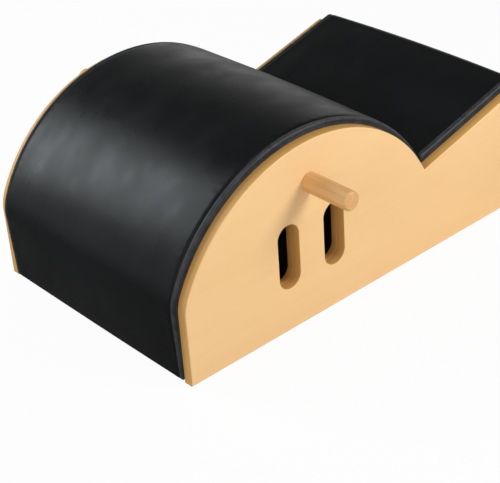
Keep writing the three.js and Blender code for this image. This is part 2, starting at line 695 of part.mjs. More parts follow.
function addFeet() {
  const up = new THREE.Vector3(0, 0, 1);
  const hole = screwDiameter / 2 + fit;
  const recess = screwHeadDiameter / 2 + 2 * fit;
  for (const { name, x, side } of footPlaces) {
    const start = new THREE.Vector3(x, side * (panelInner - footInset), -footStand);
    const foot = [
      [recess, 0], [footDiameter / 2, 0], [footTopDiameter / 2, footThickness], [hole, footThickness],
      [hole, footRecessDepth], [recess, footRecessDepth], [recess, 0],
    ];
    const headTop = footRecessDepth - fit;
    const screw = [
      [0, headTop - screwHeadHeight], [screwHeadDiameter / 2, headTop - screwHeadHeight],
      [screwHeadDiameter / 2, headTop], [screwDiameter / 2, headTop],
      [screwDiameter / 2, footScrewLength], [0, footScrewLength],
    ];
    add(`foot_${name}`, turned(foot, roundSegments, start, up), rubber);
    add(`foot_screw_${name}`, turned(screw, screwSegments, start, up), steel);
  }
}

for (const [hand, side] of sides) {
  add(`side_panel_${hand}`, sidePanel(side), birch);
  add(`grip_board_${hand}`, gripBoard(side), birch);
  add(`hand_dowel_${hand}`, handDowel(side), dowelWood);
  add(`dowel_washer_${hand}`, dowelWasher(side), steel);
  add(`dowel_bolt_${hand}`, dowelBolt(side), steel);
}
addPads();
addPadScrews();
addBoards();
addCleats();
addRibs();
addRails();
addFeet();

const box = new THREE.Box3().setFromObject(model);
model.position.set(-(box.min.x + box.max.x) / 2, 0, footStand);
model.updateMatrixWorld(true);

const part = new THREE.Group();
part.add(model);

export default part;
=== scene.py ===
# Looks of a pilates spine corrector: two padded surfaces held between birch plywood sides.
import math

import bmesh
import bpy
import numpy as np
from mathutils import Matrix, Vector
from mathutils.geometry import tessellate_polygon


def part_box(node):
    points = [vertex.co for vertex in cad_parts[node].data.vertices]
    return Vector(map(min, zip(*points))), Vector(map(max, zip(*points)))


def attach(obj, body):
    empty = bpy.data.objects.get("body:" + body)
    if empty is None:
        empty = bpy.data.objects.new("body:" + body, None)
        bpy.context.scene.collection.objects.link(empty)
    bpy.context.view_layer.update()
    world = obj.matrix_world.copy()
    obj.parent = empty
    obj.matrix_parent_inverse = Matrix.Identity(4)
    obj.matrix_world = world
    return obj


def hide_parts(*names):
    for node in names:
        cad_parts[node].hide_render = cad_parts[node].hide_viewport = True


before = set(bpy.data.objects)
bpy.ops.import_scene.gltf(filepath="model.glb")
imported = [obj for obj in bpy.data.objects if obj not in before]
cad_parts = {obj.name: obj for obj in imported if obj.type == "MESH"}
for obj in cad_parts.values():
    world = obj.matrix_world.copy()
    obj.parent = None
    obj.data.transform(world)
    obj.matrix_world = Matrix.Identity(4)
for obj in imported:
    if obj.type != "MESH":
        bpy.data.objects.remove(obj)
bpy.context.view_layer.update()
print("frame loaded,", len(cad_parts), "pieces")

mm = 0.001
hands = {"left": 1, "right": -1}  # the side of Y that a hand's pieces lie on

# Where the frame holds the side panels
panelLow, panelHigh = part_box("side_panel_left")
panelInner, panelOuter = panelLow.y, panelHigh.y
frontX, bottomZ = panelLow.x, panelLow.z

# The panels' edge line, from their front edge along X and from their bottom edge along Z
edgeLine = {
    "barrelRadius": 285 * mm,
    "barrelCentreZ": 31 * mm,
    "bendHeight": 138.4 * mm,
    "bendRound": 80 * mm,
    "valleyHeight": 160.6 * mm,
    "rampRun": 237.2 * mm,
    "rampAngle": math.radians(15.2),
}
barrelRadius, bendRound = edgeLine["barrelRadius"], edgeLine["bendRound"]
rampAngle = edgeLine["rampAngle"]
rampAlong = np.array([math.cos(rampAngle), math.sin(rampAngle)])
rampAcross = np.array([-math.sin(rampAngle), math.cos(rampAngle)])
bendRise = edgeLine["bendHeight"] - edgeLine["barrelCentreZ"]
valleyRise = edgeLine["valleyHeight"] - edgeLine["barrelCentreZ"]
barrelCentre = np.array([math.sqrt(barrelRadius**2 - bendRise**2), edgeLine["barrelCentreZ"]])
valley = barrelCentre + [math.sqrt(barrelRadius**2 - valleyRise**2), valleyRise]
rampEnd = valley + rampAlong * edgeLine["rampRun"] / math.cos(rampAngle)
bendAngle = math.atan2(bendRise, -barrelCentre[0])
bendReach = barrelCentre[0] - bendRound
bendLift = math.sqrt((barrelRadius - bendRound) ** 2 - bendReach**2)
bendCentre = np.array([bendRound, barrelCentre[1] + bendLift])
bendTurn = math.atan2(bendCentre[1] - barrelCentre[1], -bendReach)  # where the bend's round meets the arch
endTurn = rampAngle + math.pi / 2  # by so much the edge line turns at the ramp's end


# Unit vectors at some angles above X, in X and Z
def turnedTo(angle):
    return np.stack([np.cos(angle), np.sin(angle)], -1)


# How far along the ramp a circle about the barrel's centre crosses the line that lies some height over it:
# the foot of the centre on that line, plus the root of radius squared less the centre's distance squared.
def crossingAlong(radius, height):
    centre = barrelCentre - valley
    return centre @ rampAlong + np.sqrt(radius**2 - (centre @ rampAcross - height) ** 2)


# The centre of a round of some radius in the corner at the ramp's end
def endCentre(radius):
    return rampEnd - radius * np.array([1, math.tan(rampAngle) + 1 / math.cos(rampAngle)])


# Places in X and Z of the panels' frame, with a place on Y, as points of the object's frame
def placed(flat, y):
    x, y, z = np.broadcast_arrays(flat[..., 0] + frontX, y, flat[..., 1] + bottomZ)
    return np.stack([x, y, z], -1)


def smoothStep(t):
    t = np.clip(t, 0, 1)
    return t * t * (3 - 2 * t)


# Equally spaced numbers in several runs, each given by its ends and its count of steps
def spaced(*runs):
    parts = [np.linspace(a, b, count, endpoint=False) for a, b, count in runs]
    return np.concatenate(parts + [[runs[-1][1]]])


# Shader arithmetic: a wire is one socket of a material's tree.
class Wire:
    def __init__(self, tree, socket=None):
        self.tree = tree
        self.socket = socket

    # Adds a node: its settings come first, then the values or wires of its sockets, by name or number.
    def node(self, kind, settings=None, sockets=None, out=0):
        made = self.tree.nodes.new("ShaderNode" + kind)
        for key, value in (settings or {}).items():
            setattr(made, key, value)
        for key, value in (sockets or {}).items():
            if isinstance(value, Wire):
                self.tree.links.new(value.socket, made.inputs[key])
            else:
                made.inputs[key].default_value = value
        return Wire(self.tree, made.outputs[out] if len(made.outputs) else None)

    def math(self, operation, *values):
        return self.node("Math", {"operation": operation}, dict(enumerate(values)))

    def __add__(self, other):
        return self.math("ADD", self, other)

    def __sub__(self, other):
        return self.math("SUBTRACT", self, other)

    def __rsub__(self, other):
        return self.math("SUBTRACT", other, self)

    def __mul__(self, other):
        return self.math("MULTIPLY", self, other)

    def __abs__(self):
        return self.math("ABSOLUTE", self)

    __radd__ = __add__
    __rmul__ = __mul__

    # 0 below one value, 1 above another, and smooth between them
    def step(self, low, high):
        sockets = {"Value": self, "From Min": low, "From Max": high}
        return self.node("MapRange", {"interpolation_type": "SMOOTHSTEP"}, sockets)

    # From one colour to another as this goes from 0 to 1
    def mixed(self, first, second):
        return self.node("Mix", {"data_type": "RGBA"}, {0: self, 6: first, 7: second}, 2)

    # One of the three numbers of a place or a direction
    def axis(self, number):
        return self.node("SeparateXYZ", None, {0: self}, number)


# A material under construction: places on the piece, noises at them, and the finished surface.
class Finish:
    def __init__(self, name):
        self.material = bpy.data.materials.new(name)
        self.material.use_nodes = True
        self.material.node_tree.nodes.clear()
        self.start = Wire(self.material.node_tree)
        self.place = self.start.node("TexCoord", out=3)

    # Places stretched by a factor along each axis, so that a noise there has that many more turns
    def stretched(self, x, y, z):
        return self.start.node("Mapping", None, {"Vector": self.place, "Scale": (x, y, z)})

    def noise(self, at, scale, detail=2, roughness=0.5, distortion=0):
        sockets = {"Vector": at, "Scale": scale, "Detail": detail, "Roughness": roughness,
                   "Distortion": distortion}
        return self.start.node("TexNoise", None, sockets)

    # The finished surface, with bumps of some height that stand up to a depth in metres
    def surface(self, sockets, height, depth):
        sockets["Normal"] = self.start.node("Bump", None, {"Distance": depth, "Height": height})
        shader = self.start.node("BsdfPrincipled", None, sockets)
        self.start.node("OutputMaterial", None, {"Surface": shader})
        return self.material


# A colour as a screen shows it, in the linear values that a shader takes
def seen(red, green, blue):
    share = np.array([red, green, blue]) / 255
    linear = np.where(share <= 0.04045, share / 12.92, ((share + 0.055) / 1.055) ** 2.4)
    return (*linear.tolist(), 1)


# Camera, lamps and floor

camera = {
    "focalPixels": 1433.746, "imagePixels": 500,
    "azimuth": -39.9106, "elevation": 31.3699, "roll": -4.1021,
    "place": (-1.0319845, -1.6324657, 1.3038451),  # from the panels' front edge, the middle and their bottom
}


# The camera's axes: it looks back along its own direction from the object, and then turns by its roll.
def makeCamera():
    azimuth, elevation, roll = (math.radians(camera[key]) for key in ("azimuth", "elevation", "roll"))
    back = Vector((math.sin(azimuth) * math.cos(elevation),
                   -math.cos(azimuth) * math.cos(elevation), math.sin(elevation)))
    right = Vector((0, 0, 1)).cross(back).normalized()
    up = back.cross(right)
    turnedRight = right * math.cos(roll) + up * math.sin(roll)
    turnedUp = up * math.cos(roll) - right * math.sin(roll)
    view = bpy.data.objects.new("view", bpy.data.cameras.new("view"))
    view.data.sensor_width = 36
    view.data.lens = camera["focalPixels"] * view.data.sensor_width / camera["imagePixels"]
    view.data.clip_end = 50
    x, y, z = camera["place"]
    turn = Matrix((turnedRight, turnedUp, back)).transposed().to_4x4()
    view.matrix_world = Matrix.Translation((x + frontX, y, z + bottomZ)) @ turn
    bpy.context.scene.collection.objects.link(view)
    bpy.context.scene.camera = view


# Each lamp: the direction it stands in from the object, its distance, width, height, power and colour
lamps = {
    "key": ((0.40, -0.76, 0.52), 2.6, 1.1, 1.1, 38.5, (1, 0.99, 0.975)),
    "fill": ((-0.75, -0.45, 0.45), 2.6, 1.8, 1.8, 16, (1, 1, 1)),
    "top": ((-0.08, -0.25, 1.0), 2.8, 1.8, 1.8, 5, (1, 1, 1)),
    "back": ((-0.487, 0.70, 0.522), 2.6, 0.9, 2.0, 45, (0.90, 0.97, 1)),
}
room = {
    "floorSize": 24.0, "floorShade": 0.80, "glow": 0.94,
    "paintedShadeUnder": 0.05, "shadeHalf": (0.37, 0.235), "shadeEdge": 0.012,  # the floor under the object is painted dark: painted shade
    "glossyGlow": 0.12, "glossyRise": 0.75, "glossyFar": (0.9, 3.5),  # in reflections it brightens far away
    "dome": 0.10, "horizon": 0.70, "horizonRise": 0.45,
}


def makeLamps():
    aim = Vector((0, 0, 0.15))
    for name, (direction, distance, width, height, power, shade) in lamps.items():
        lamp = bpy.data.objects.new(name + "Lamp", bpy.data.lights.new(name + "Lamp", "AREA"))
        lamp.data.shape = "ELLIPSE"
        lamp.data.size, lamp.data.size_y = width, height
        lamp.data.energy = power
        lamp.data.color = shade
        lamp.location = aim + Vector(direction).normalized() * distance
        lamp.rotation_euler = (lamp.location - aim).to_track_quat("Z", "Y").to_euler()
        bpy.context.scene.collection.objects.link(lamp)
    world = bpy.data.worlds.new("studio")
    world.use_nodes = True
    world.node_tree.nodes.clear()
    start = Wire(world.node_tree)
    height = abs(start.node("TexCoord").axis(2))
    strength = room["dome"] + room["horizon"] * (1 - height.step(0.0, room["horizonRise"]))
    strength = strength.math("MAXIMUM", strength, start.node("LightPath", out=0))  # the camera sees white
    shade = start.node("Background", None, {"Color": (1, 1, 1, 1), "Strength": strength})
    start.node("OutputWorld", None, {"Surface": shade})
    bpy.context.scene.world = world


# A pale floor: the camera sees it nearly white, with the object's shadow, and reflections see it dimmer.
# Under the object it is painted dark and does not glow: painted shade.
def makeFloor():
    made = Finish("floorWhite")
    start = made.start
    cameraRay, glossyRay, throughRay = (start.node("LightPath", out=i) for i in (0, 3, 6))
    watched = cameraRay * room["glow"] + throughRay * room["glow"] + glossyRay
    away = start.node("VectorMath", {"operation": "LENGTH"}, {0: made.place}, 1).step(*room["glossyFar"])
    strength = 1 - glossyRay * (1 - room["glossyGlow"]) * (1 - away * room["glossyRise"])
    # Painted shade: a dark patch of floor under the object, so that its inside looks dark through the slots
    (halfX, halfY), edge = room["shadeHalf"], room["shadeEdge"]
    overX = abs(made.place.axis(0)).step(halfX - edge, halfX)
    overY = abs(made.place.axis(1)).step(halfY - edge, halfY)
    clear = overX.math("MAXIMUM", overX, overY)
    light, dark = room["floorShade"], room["paintedShadeUnder"]
    shade = clear.mixed((dark, dark, dark, 1), (light, light, light, 1))
    plain = start.node("BsdfDiffuse", None, {"Color": shade})
    bright = start.node("Emission", None, {"Color": (1, 1, 1, 1), "Strength": strength})
    mixed = start.node("MixShader", None, {0: watched * clear, 1: plain, 2: bright})
    start.node("OutputMaterial", None, {"Surface": mixed})
    half = room["floorSize"] / 2
    mesh = bpy.data.meshes.new("floor")
    corners = [(-half, -half, 0), (half, -half, 0), (half, half, 0), (-half, half, 0)]
    mesh.from_pydata(corners, [], [(0, 1, 2, 3)])
    mesh.materials.append(made.material)
    floor = bpy.data.objects.new("floor", mesh)
    bpy.context.scene.collection.objects.link(floor)


makeCamera()
makeLamps()
makeFloor()
bpy.context.scene.view_settings.view_transform = "Standard"
print("camera, lamps and floor made")


# Finishes

# Black vinyl: a fine leather grain, a satin gloss in soft clouds, and a painted highlight along the welt cord
# at the sides: a greyer base colour mottled by noise
def makeVinyl():
    made = Finish("vinylBlack")
    cells = made.start.node("TexVoronoi", {"feature": "DISTANCE_TO_EDGE"},
                            {"Vector": made.place, "Scale": 800.0, "Randomness": 1.0})
    grain = cells.step(0.0, 0.22)
    fine = made.noise(made.place, 1600, 2, 0.6)
    cloud = made.noise(made.place, 7, 3, 0.55)
    blotch = made.noise(made.stretched(1, 1.5, 1), 15, 2, 0.5)
    mottle = made.noise(made.place, 60, 3, 0.6)
    shade = cloud.step(0.35, 0.7).mixed((0.0062, 0.0065, 0.0070, 1), (0.0082, 0.0086, 0.0092, 1))
    # Painted highlight: the welt cord's base colour is made greyer, mottled by noise, to stand in for the
    # sheen of light along it
    cord = abs(made.place.axis(1)).step(212.5 * mm, 217.5 * mm)
    cordSheen = cord * (0.55 + 0.45 * mottle.step(0.35, 0.65))
    shade = cordSheen.mixed(shade, (0.052, 0.056, 0.062, 1))
    rough = 0.27 + 0.12 * blotch.step(0.25, 0.75) + 0.03 * mottle - 0.03 * grain + 0.08 * cordSheen
    swell = made.noise(made.stretched(1, 1.3, 1), 11, 1, 0.4)
    height = 0.04 * grain + 0.02 * fine + 0.94 * swell
    sockets = {"Base Color": shade, "Roughness": rough, "IOR": 1.45, "Specular IOR Level": 0.2}
    return made.surface(sockets, height, 0.8 * mm)


# Birch plywood: a pale face with long faint grain along X, and its plies as stripes on the cut edges
def makePly():
    made = Finish("panelBirch")
    grain = made.noise(made.stretched(6, 60, 90), 5, 5, 0.62, 0.6)
    streak = made.noise(made.stretched(1.2, 30, 16), 3, 3, 0.55, 1.4)
    cloud = made.noise(made.place, 4.5, 3, 0.5)
    pores = made.noise(made.stretched(40, 500, 900), 2, 2, 0.7)
    tone = 0.3 * grain.step(0.3, 0.75) + 0.3 * streak.step(0.35, 0.7) + 0.4 * cloud.step(0.3, 0.75)
    plies = made.place.axis(1) * (1 / (1.5 * mm))  # one ply is 1.5 mm thick
    plyLine = plies.math("PINGPONG", plies, 1.0).step(0.42, 0.58)
    edge = (0.6 * plyLine + 0.4 * grain).mixed(seen(219, 170, 99), seen(196, 143, 73))
    facing = abs(made.start.node("NewGeometry", out=1).axis(1))
    face = tone.mixed((0.92, 0.605, 0.295, 1), (0.88, 0.56, 0.262, 1))
    shade = facing.step(0.30, 0.90).mixed(edge, face)
    sockets = {"Base Color": shade, "Roughness": 0.45 + 0.1 * grain + 0.05 * streak, "IOR": 1.45}
    return made.surface(sockets, 0.7 * pores + 0.3 * grain, 0.03 * mm)


# The hand dowels' wood: fine grain along Y, the way they point
def makeTurnedWood():
    made = Finish("dowelWood")
    grain = made.noise(made.stretched(240, 7, 240), 1.2, 5, 0.65, 0.4)
    streak = made.noise(made.stretched(60, 2, 60), 1.6, 3, 0.5)
    pores = made.noise(made.stretched(900, 40, 900), 1.2, 2, 0.6)
    shade = (0.5 * grain.step(0.3, 0.72) + 0.5 * streak).mixed(seen(236, 188, 128), seen(204, 150, 90))
    sockets = {"Base Color": shade, "Roughness": 0.45 + 0.14 * grain}
    return made.surface(sockets, 0.6 * pores + 0.4 * grain, 0.04 * mm)


# The unseen boards, rails and cleats: plain sawn wood
def makeFrameWood():
    made = Finish("frameWood")
    grain = made.noise(made.stretched(60, 5, 60), 4, 5, 0.62, 0.7)
    cloud = made.noise(made.place, 6, 3, 0.5)
    pores = made.noise(made.stretched(700, 60, 700), 1.4, 2, 0.7)
    shade = (0.65 * grain.step(0.3, 0.72) + 0.35 * cloud).mixed(seen(226, 190, 142), seen(190, 146, 96))
    sockets = {"Base Color": shade, "Roughness": 0.6 + 0.15 * grain}
    return made.surface(sockets, 0.6 * pores + 0.4 * grain, 0.06 * mm)


def makeFoam():
    made = Finish("padFoam")
    cells = made.start.node("TexVoronoi", None, {"Vector": made.place, "Scale": 900.0})
    cloud = made.noise(made.place, 30, 4, 0.6)
    shade = cloud.step(0.3, 0.7).mixed(seen(222, 214, 186), seen(206, 196, 164))
    return made.surface({"Base Color": shade, "Roughness": 0.92 + 0.05 * cloud}, cells, 0.4 * mm)


def makeSteel():
    made = Finish("zincSteel")
    fine = made.noise(made.place, 900, 3, 0.6)
    cloud = made.noise(made.place, 120, 3, 0.6)
    shade = cloud.step(0.3, 0.7).mixed((0.55, 0.56, 0.57, 1), (0.42, 0.43, 0.45, 1))
    sockets = {"Base Color": shade, "Roughness": 0.27 + 0.16 * cloud, "Metallic": 1.0}
    return made.surface(sockets, fine, 0.02 * mm)


def makeRubber():
    made = Finish("footRubber")
    fine = made.noise(made.place, 1400, 3, 0.6)
    cloud = made.noise(made.place, 60, 3, 0.6)
    shade = cloud.step(0.3, 0.7).mixed((0.012, 0.012, 0.013, 1), (0.022, 0.022, 0.023, 1))
    return made.surface({"Base Color": shade, "Roughness": 0.72 + 0.12 * cloud}, fine, 0.05 * mm)


finishes = {
    "cover_vinyl": makeVinyl(),
    "panel_birch": makePly(),
    "dowel_wood": makeTurnedWood(),
    "frame_wood": makeFrameWood(),
    "pad_foam": makeFoam(),
    "steel": makeSteel(),
    "foot_rubber": makeRubber(),
}
print("finishes made")


# Puts a new piece in place of CAD nodes: it rides on the only body and takes a slot's finish.
def finishPiece(name, mesh, slot, replaced, sharpAngle, flatFaces=None):
    mesh.validate()
    smooth = np.ones(len(mesh.polygons), bool)
    if flatFaces is not None:
        smooth[flatFaces] = False
    mesh.polygons.foreach_set("use_smooth", smooth)
    mesh.set_sharp_from_angle(angle=sharpAngle)
    mesh.materials.append(finishes[slot])
    piece = bpy.data.objects.new(name, mesh)
    bpy.context.scene.collection.objects.link(piece)
    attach(piece, "root")
    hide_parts(*replaced)
    return piece


# A mesh whose faces all point out
def meshOf(name, points, faces, merge=True):
    mesh = bpy.data.meshes.new(name)
    mesh.from_pydata(np.asarray(points, float).reshape(-1, 3).tolist(), [], faces)
    shape = bmesh.new()
    shape.from_mesh(mesh)
    if merge:
        bmesh.ops.remove_doubles(shape, verts=shape.verts, dist=1e-7)
    bmesh.ops.recalc_face_normals(shape, faces=shape.faces)
    shape.to_mesh(mesh)
    shape.free()
    mesh.update()
    return mesh


# Four-sided faces between neighbouring points of a grid of rows and columns; a closed grid joins its last
# column to its first.
def gridFaces(rows, columns, first=0, closed=False):
    spans = columns if closed else columns - 1
    row, column = np.meshgrid(np.arange(rows - 1), np.arange(spans), indexing="ij")
    following = (column + 1) % columns
    corners = [row * columns + column, row * columns + following,
               (row + 1) * columns + following, (row + 1) * columns + column]
    return (np.stack([c.ravel() for c in corners], -1) + first).tolist()


# Pads

pad = {
    "halfWidth": 221.7 * mm,
    "seat": 9.7 * mm,  # from the edge line down to the boards
    "skin": 1.5 * mm,
    "foamGap": 1.8 * mm,  # from the skin's outside to the foam
    "foot": 3 * mm,  # from the panels' bottom edge to the pads
    "footRound": 4 * mm,
    "crown": 3.4 * mm,
    "footHeight": 3 * mm, "frontHeight": 10 * mm, "barrelHeight": 12 * mm,
    "rampHeight": 12 * mm, "backHeight": 11 * mm,
    "easing": math.radians(24),  # of the arch, where the front pad's height becomes the barrel's
    "barrelUnder": 19 * mm, "rampUnder": 22 * mm,  # how far down the sides the skins are drawn
    "valleyGap": 0.5 * mm,
    "rolledEnd": 9 * mm,  # radius of the ramp pad's end in the valley
    "cornerRound": 1.5 * mm,  # under the skin at the ramp's end
    "cornerSpan": 60 * mm,  # on both sides of that corner, where the skin's lower edge is drawn back
    "tail": math.radians(17.5),  # the angle at which the barrel's pad ends, under the ramp's
}
# The welt along a pad's sides, where the pad stands 12 mm high: a cord in a fold of the skin
welt = {
    "radius": 4.0 * mm, "place": 217.6 * mm, "level": 7.2 * mm,
    "fromAngle": math.radians(150), "toAngle": math.radians(-50),  # of the cord's round, seam to lower fold
    "shoulder": 207 * mm,  # where the top starts to fall to the seam
    "innerShoulder": 205 * mm,
    "pucker": 0.16 * mm, "puckerReach": 4.5 * mm,
}
# Steps of the pads' grids, across and along
steps = {
    "top": 48, "shoulder": 6, "welt": 16, "flank": 4, "insideTop": 8, "insideSide": 6,
    "foot": 6, "barrel": 410, "rolled": 8, "ramp": 105, "end": 16, "back": 90,
    "foamBarrel": 120, "foamRolled": 6, "foamRamp": 30,
}


# The columns of a pad's outside from one side's lower edge over the top to the other's: their place on Y,
# their height as a share of the pad's, and how far down the upright side they lie, from 0 to 1. The top ends
# in a quarter of an ellipse down to the seam, and the welt is an arc from there to the fold below it.
def weltedColumns():
    turn = np.linspace(welt["fromAngle"], welt["toAngle"], steps["welt"] + 1)
    cordY = welt["place"] + welt["radius"] * np.cos(turn)
    cordZ = welt["level"] + welt["radius"] * np.sin(turn)
    fall = np.linspace(0, math.pi / 2, steps["shoulder"] + 1)[1:-1]
    top = np.linspace(0, welt["shoulder"], steps["top"] + 1)
    height = pad["barrelHeight"]
    down = np.linspace(0, 1, steps["flank"] + 1)
    y = [top, welt["shoulder"] + (cordY[0] - welt["shoulder"]) * np.sin(fall), cordY,
         np.full(len(down), pad["halfWidth"])]
    rise = [top * 0 + height, cordZ[0] + (height - cordZ[0]) * np.cos(fall), cordZ, 0 * down]
    return mirroredColumns(y, rise, down, welt["shoulder"])


# The columns of a skin's inside or of the foam: a quarter of an ellipse takes the place of the welt.
def plainColumns(offset):
    half = pad["halfWidth"] - offset
    turn = np.linspace(0, math.pi / 2, steps["insideSide"] + 1)[1:]
    top = np.linspace(0, welt["innerShoulder"], steps["insideTop"] + 1)
    y = [top, welt["innerShoulder"] + (half - welt["innerShoulder"]) * np.sin(turn), [half]]
    rise = [top * 0 + pad["barrelHeight"], pad["barrelHeight"] * np.cos(turn), [0]]
    return mirroredColumns(y, rise, [1], welt["innerShoulder"])


def mirroredColumns(y, rise, down, top):
    y, share = np.concatenate(y), np.concatenate(rise) / pad["barrelHeight"]
    flank = np.concatenate([np.zeros(len(y) - len(down)), down])
    return {
        "y": np.concatenate([-y[::-1], y[1:]]),
        "share": np.concatenate([share[::-1], share[1:]]),
        "flank": np.concatenate([flank[::-1], flank[1:]]),
        "top": top,
    }


# How high the skin stands over the edge line: the pad's height there times the column's share, plus a crown
# that is a parabola across the top, less the way down the upright sides.
def padDepth(columns, height, under):
    height = np.asarray(height)[:, None]
    across = np.clip(np.abs(columns["y"]) / columns["top"], 0, 1)
    crown = pad["crown"] * (height / pad["barrelHeight"]) * (1 - across**2)
    return height * columns["share"] + crown - under * columns["flank"]


# The barrel's edge line as distance goes from the floor up the front, round the bend and over the arch:
# its points, the angle of the way out, and the pad's height.
frontLength = bendCentre[1] - pad["foot"]
bendLength = bendRound * (math.pi - bendTurn)
barrelLength = frontLength + bendLength + barrelRadius * (bendTurn - pad["tail"])


def barrelLine(distance):
    onArch = distance - frontLength - bendLength
    turned = np.clip(distance - frontLength, 0, bendLength) / bendRound
    angle = np.where(onArch > 0, bendTurn - onArch / barrelRadius, math.pi - turned)
    centre = np.where((onArch > 0)[:, None], barrelCentre, bendCentre)
    base = centre + np.where(onArch > 0, barrelRadius, bendRound)[:, None] * turnedTo(angle)
    base[:, 1] += np.minimum(distance - frontLength, 0)
    front = np.clip(base[:, 1] / edgeLine["bendHeight"], 0, 1)
    arch = smoothStep((bendAngle - angle) / pad["easing"])
    height = (pad["footHeight"] + (pad["frontHeight"] - pad["footHeight"]) * front
              + (pad["barrelHeight"] - pad["frontHeight"]) * arch)
    return base, angle, height


# The ramp's edge line after it leaves the ramp: round the end and down the back to the floor.
padEnd = endCentre(pad["cornerRound"])
runLength = (padEnd - valley) @ rampAlong  # along the ramp from the valley to where its end begins
endLength = endTurn * (pad["cornerRound"] + pad["rampHeight"])
backLength = padEnd[1] - pad["foot"]


def backLine(distance):
    angle = endTurn * (1 - np.clip(distance / endLength, 0, 1))
    base = padEnd + pad["cornerRound"] * turnedTo(angle)
    base[:, 1] -= np.clip(distance - endLength, 0, None)
    low = pad["footHeight"] + (pad["backHeight"] - pad["footHeight"]) * base[:, 1] / padEnd[1]
    height = np.where(distance < endLength, pad["rampHeight"]
                      + (pad["backHeight"] - pad["rampHeight"]) * distance / endLength, low)
    return base, angle, height


# How far in the skin draws near a foot: it rounds over as a quarter circle.
def footInset(distance):
    reach = np.clip(1 - distance / pad["footRound"], 0, 1)
    return pad["footRound"] * (1 - np.sqrt(1 - reach**2))


def barrelSkin(distance, columns, offset, under):
    base, out, height = barrelLine(distance)
    inset = footInset(distance)
    depth = padDepth(columns, height - offset - inset, under)
    flat = base[:, None] + turnedTo(out)[:, None] * depth[..., None]
    low = (flat - valley) @ rampAcross + pad["seat"] - 0.3 * mm - offset
    flat = np.where(flat[..., :1] > barrelCentre[0], flat - rampAcross * np.minimum(low, 0)[..., None], flat)
    return flat, columns["y"] * (1 - inset[:, None] / pad["halfWidth"])


# The barrel pad's own radius at each column, which the ramp's pad stays clear of
def barrelReach(columns):
    depth = padDepth(columns, np.array([pad["barrelHeight"]]), 0)[0]
    crest = welt["level"] + welt["radius"]
    return barrelRadius + np.where(np.abs(columns["y"]) > welt["place"], crest, depth) + pad["valleyGap"]


# The ramp's skin: it leaves the barrel's with a rolled end, runs up the ramp, turns over its end and goes
# down the back. Near the end the lower edge is drawn back, to where the two undersides cross.
def rampSkin(sunkRows, runShares, backDistance, columns, offset, under):
    roll = pad["rolledEnd"] - offset
    height = pad["rampHeight"] - offset
    reach = barrelReach(columns) + offset
    full = padDepth(columns, np.array([height]), under)
    sunk = full - (full + under) * sunkRows[:, :1] / (height + under)
    start = crossingAlong(reach, sunk) + sunkRows[:, 1:]
    first = crossingAlong(reach, full) + roll
    run = first + (runLength - first) * runShares[:, None]
    along = np.concatenate([start, run])
    depth = np.concatenate([sunk, np.repeat(full, len(runShares), 0)])
    drawn = under * math.tan(endTurn / 2) + runLength - (rampEnd - valley) @ rampAlong
    near = np.clip((along - runLength) / pad["cornerSpan"] + 1, 0, 1)
    along = along - near * drawn * columns["flank"]
    upper = valley + along[..., None] * rampAlong + depth[..., None] * rampAcross
    base, angle, heights = backLine(backDistance)
    inset = footInset(endLength + backLength - backDistance)
    depth = padDepth(columns, heights - offset - inset, 0)
    near = np.clip((endLength - backDistance) / pad["cornerSpan"] + 1, 0, 1)[:, None]
    fall = np.clip(backDistance - endLength, 0, None)[:, None]
    miter = rampEnd - under * np.array([1, math.tan(endTurn / 2)])
    lowEdge = np.concatenate([0 * fall + miter[0], padEnd[1] - fall + (miter[1] - padEnd[1]) * near], -1)
    lower = base[:, None] + turnedTo(angle)[:, None] * depth[..., None]
    flank = columns["flank"][:, None]
    lower = lower * (1 - flank) + lowEdge[:, None] * flank
    flat = np.concatenate([upper, lower])
    inset = np.concatenate([np.zeros(len(upper)), inset])
    return flat, columns["y"] * (1 - inset[:, None] / pad["halfWidth"])


# How far the ramp pad's end lies below its top, and how far behind the barrel's pad, row by row
def sunkProfile(offset, under, count):
    roll = pad["rolledEnd"] - offset
    turn = np.linspace(math.pi / 2, 0, count + 1)[:-1]
    rolled = np.stack([roll * (1 - np.cos(turn)), roll * (1 - np.sin(turn))], -1)
    wall = np.array([[0.94, 0.75, 0.55]]).T * (pad["rampHeight"] - offset + under) * [[1, 0]]
    return np.concatenate([wall, rolled])


# How much the skin gathers beside the seam: small puckers that run along it and die away across it.
def puckered(along, y):
    away = np.abs(np.abs(y) - welt["shoulder"]) / welt["puckerReach"]
    ripple = np.sin(along / (2.3 * mm)) * (0.6 + 0.4 * np.sin(along / (17 * mm) + 1.3)) \
        + 0.5 * np.sin(along / (3.7 * mm) + 2.1)
    return welt["pucker"] * ripple * np.exp(-away**2)


# Unit normals of a grid, pointing out: the cross product of its two directions.
def gridNormals(points):
    normal = np.cross(np.gradient(points, axis=0), np.gradient(points, axis=1))
    return normal / np.maximum(np.linalg.norm(normal, axis=-1, keepdims=True), 1e-12)


# The skin of a pad settles over its foam as cloth: the coarse net between the welts is held at its edges,
# drawn a little tight and pressed outward by the foam.
settling = {
    "rowStep": 5, "columnStep": 3,  # of the fine grid, between the net's threads
    "frames": 20, "pressure": 8.0, "shrink": 0.003, "bending": 6.0, "stiffness": 12.0,
    "most": 2.0 * mm,  # that a point may move
    "quality": 6,
    "valleyHeld": 20 * mm,  # the barrel's skin stays put so near the valley
    "rampHeld": (14, 12, 8),  # and the ramp's in these rows: at its start, about its turn and at its foot
}


# Weights of a cubic spline that carry values from a few rows to many
def splineWeights(many, few):
    away = np.abs(np.linspace(0, few - 1, many)[:, None] - np.arange(few))
    near = 2 / 3 - away**2 + away**3 / 2
    weight = np.where(away < 1, near, np.clip(2 - away, 0, None) ** 3 / 6)
    return weight / weight.sum(1, keepdims=True)


